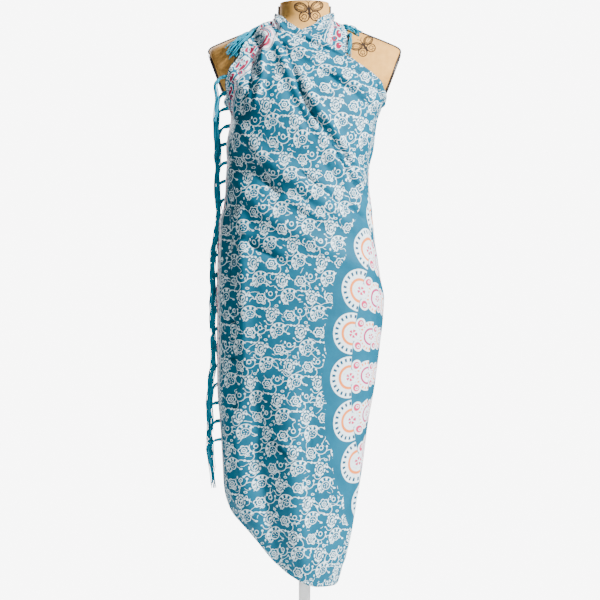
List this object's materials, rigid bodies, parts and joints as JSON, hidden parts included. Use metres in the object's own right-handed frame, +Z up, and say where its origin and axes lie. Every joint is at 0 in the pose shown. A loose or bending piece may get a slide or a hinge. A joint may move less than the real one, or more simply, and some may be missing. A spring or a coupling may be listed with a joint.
{
  "type": "sarong on a limbless dress form with a stand",
  "caption": "Turquoise batik sarong with fringed ends, wound about a linen dress form on a pole stand and tied behind the neck.",
  "frame": {"origin": "middle of the stand base's underside, on the pole's axis", "axes": "+Z up along the pole, -Y towards the viewer of the front, +X to that viewer's right"},
  "size_m": [0.4141, 0.37, 1.52],
  "materials": {
    "batik": "soft matt rayon with a wax-resist print",
    "linen": "matt woven linen",
    "trim": "satin piping",
    "lacquer": "white satin lacquer"
  },
  "bodies": {
    "root": {"front_wrap": "batik", "back_wrap": "batik", "under_wrap": "batik", "tie_left": "batik", "tie_right": "batik", "neck_knot": "batik", "tail_left": "batik", "tail_right": "batik", "fringe_shoulder": "batik", "fringe_side": "batik", "fringe_neck": "batik", "fringe_tail_left": "batik", "fringe_tail_right": "batik", "form_body": "linen", "neck_cap": "linen", "arm_plate_left": "linen", "arm_plate_right": "linen", "arm_band_left": "trim", "arm_band_right": "trim", "stand_pole": "lacquer", "stand_base": "lacquer"}
  },
  "joints": []
}
